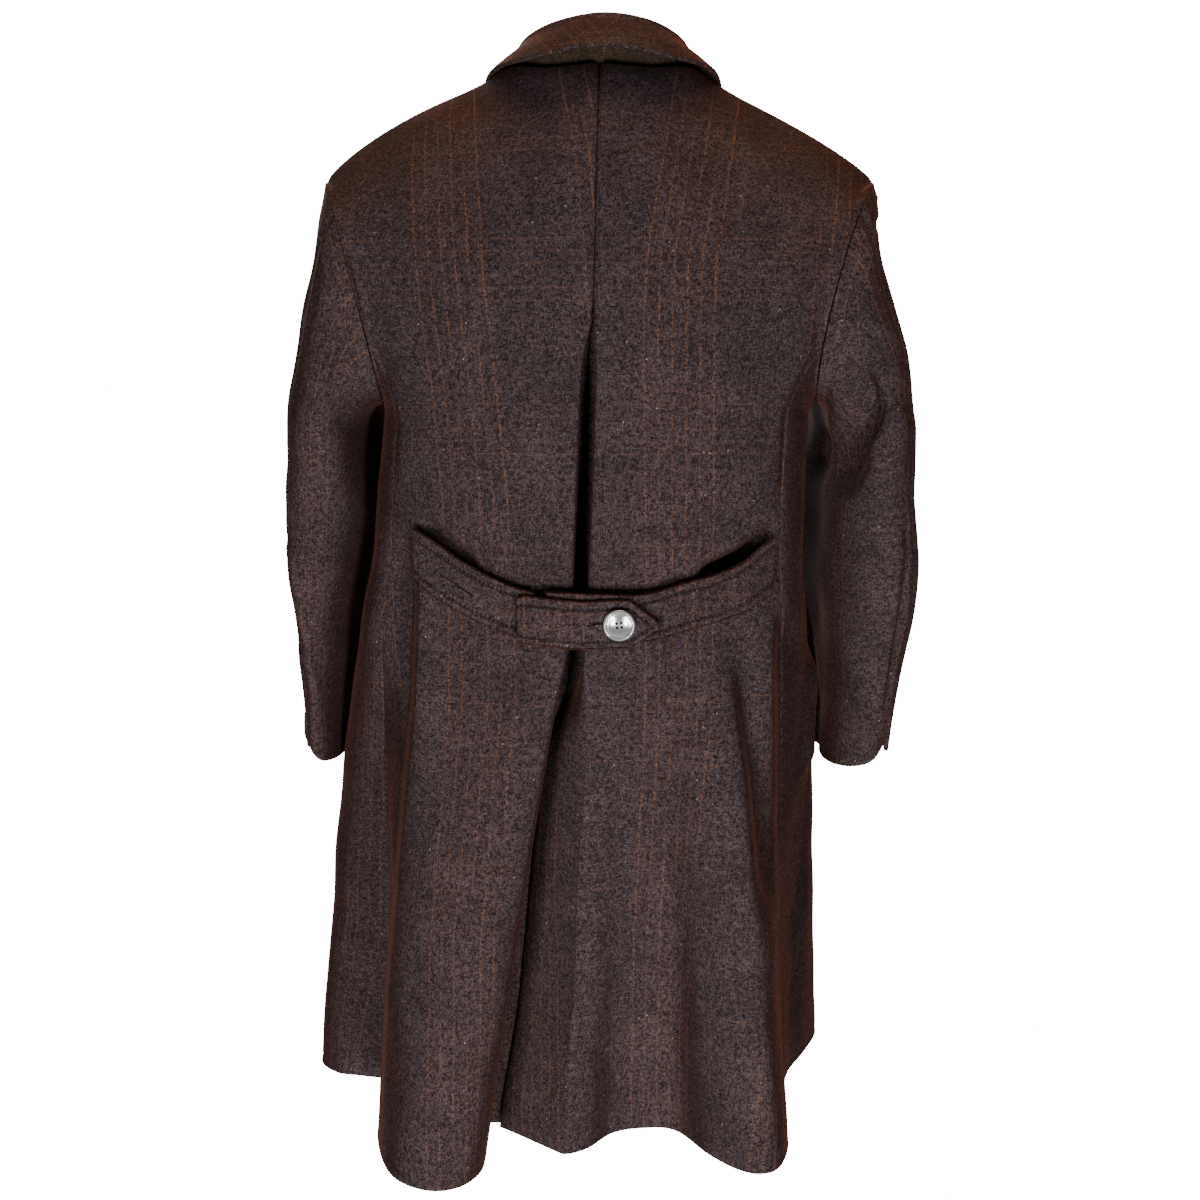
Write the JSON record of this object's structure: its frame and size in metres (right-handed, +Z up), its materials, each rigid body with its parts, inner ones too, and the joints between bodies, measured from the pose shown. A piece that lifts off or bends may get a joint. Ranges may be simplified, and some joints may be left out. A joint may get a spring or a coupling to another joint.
{
  "type": "overcoat",
  "caption": "Hollow wool overcoat in its worn form: turn-down collar, seamed sleeves, half belt with a pointed buttoned tab at the back, and a deep inverted pleat down to the hem.",
  "frame": {"origin": "between the shoulders at the height of the back neck seam, where the coat hangs on its wearer", "axes": "+Z up, +Y to the coat's front, +X to the wearer's right; the back shown in the picture faces -Y"},
  "size_m": [0.5983, 0.3946, 1.0213],
  "materials": {
    "wool": "milled dark heather wool with a faint rust windowpane check",
    "pearl": "pearly, polished"
  },
  "bodies": {
    "root": {"back_left": "wool", "back_right": "wool", "pleat_underlay": "wool", "front_left": "wool", "front_right": "wool", "collar": "wool", "sleeve_left_top": "wool", "sleeve_left_under": "wool", "sleeve_right_top": "wool", "sleeve_right_under": "wool", "belt_left": "wool", "belt_right": "wool", "belt_tab": "wool", "belt_button": "pearl", "front_button_1": "pearl", "front_button_2": "pearl", "front_button_3": "pearl", "front_button_4": "pearl"}
  },
  "joints": []
}
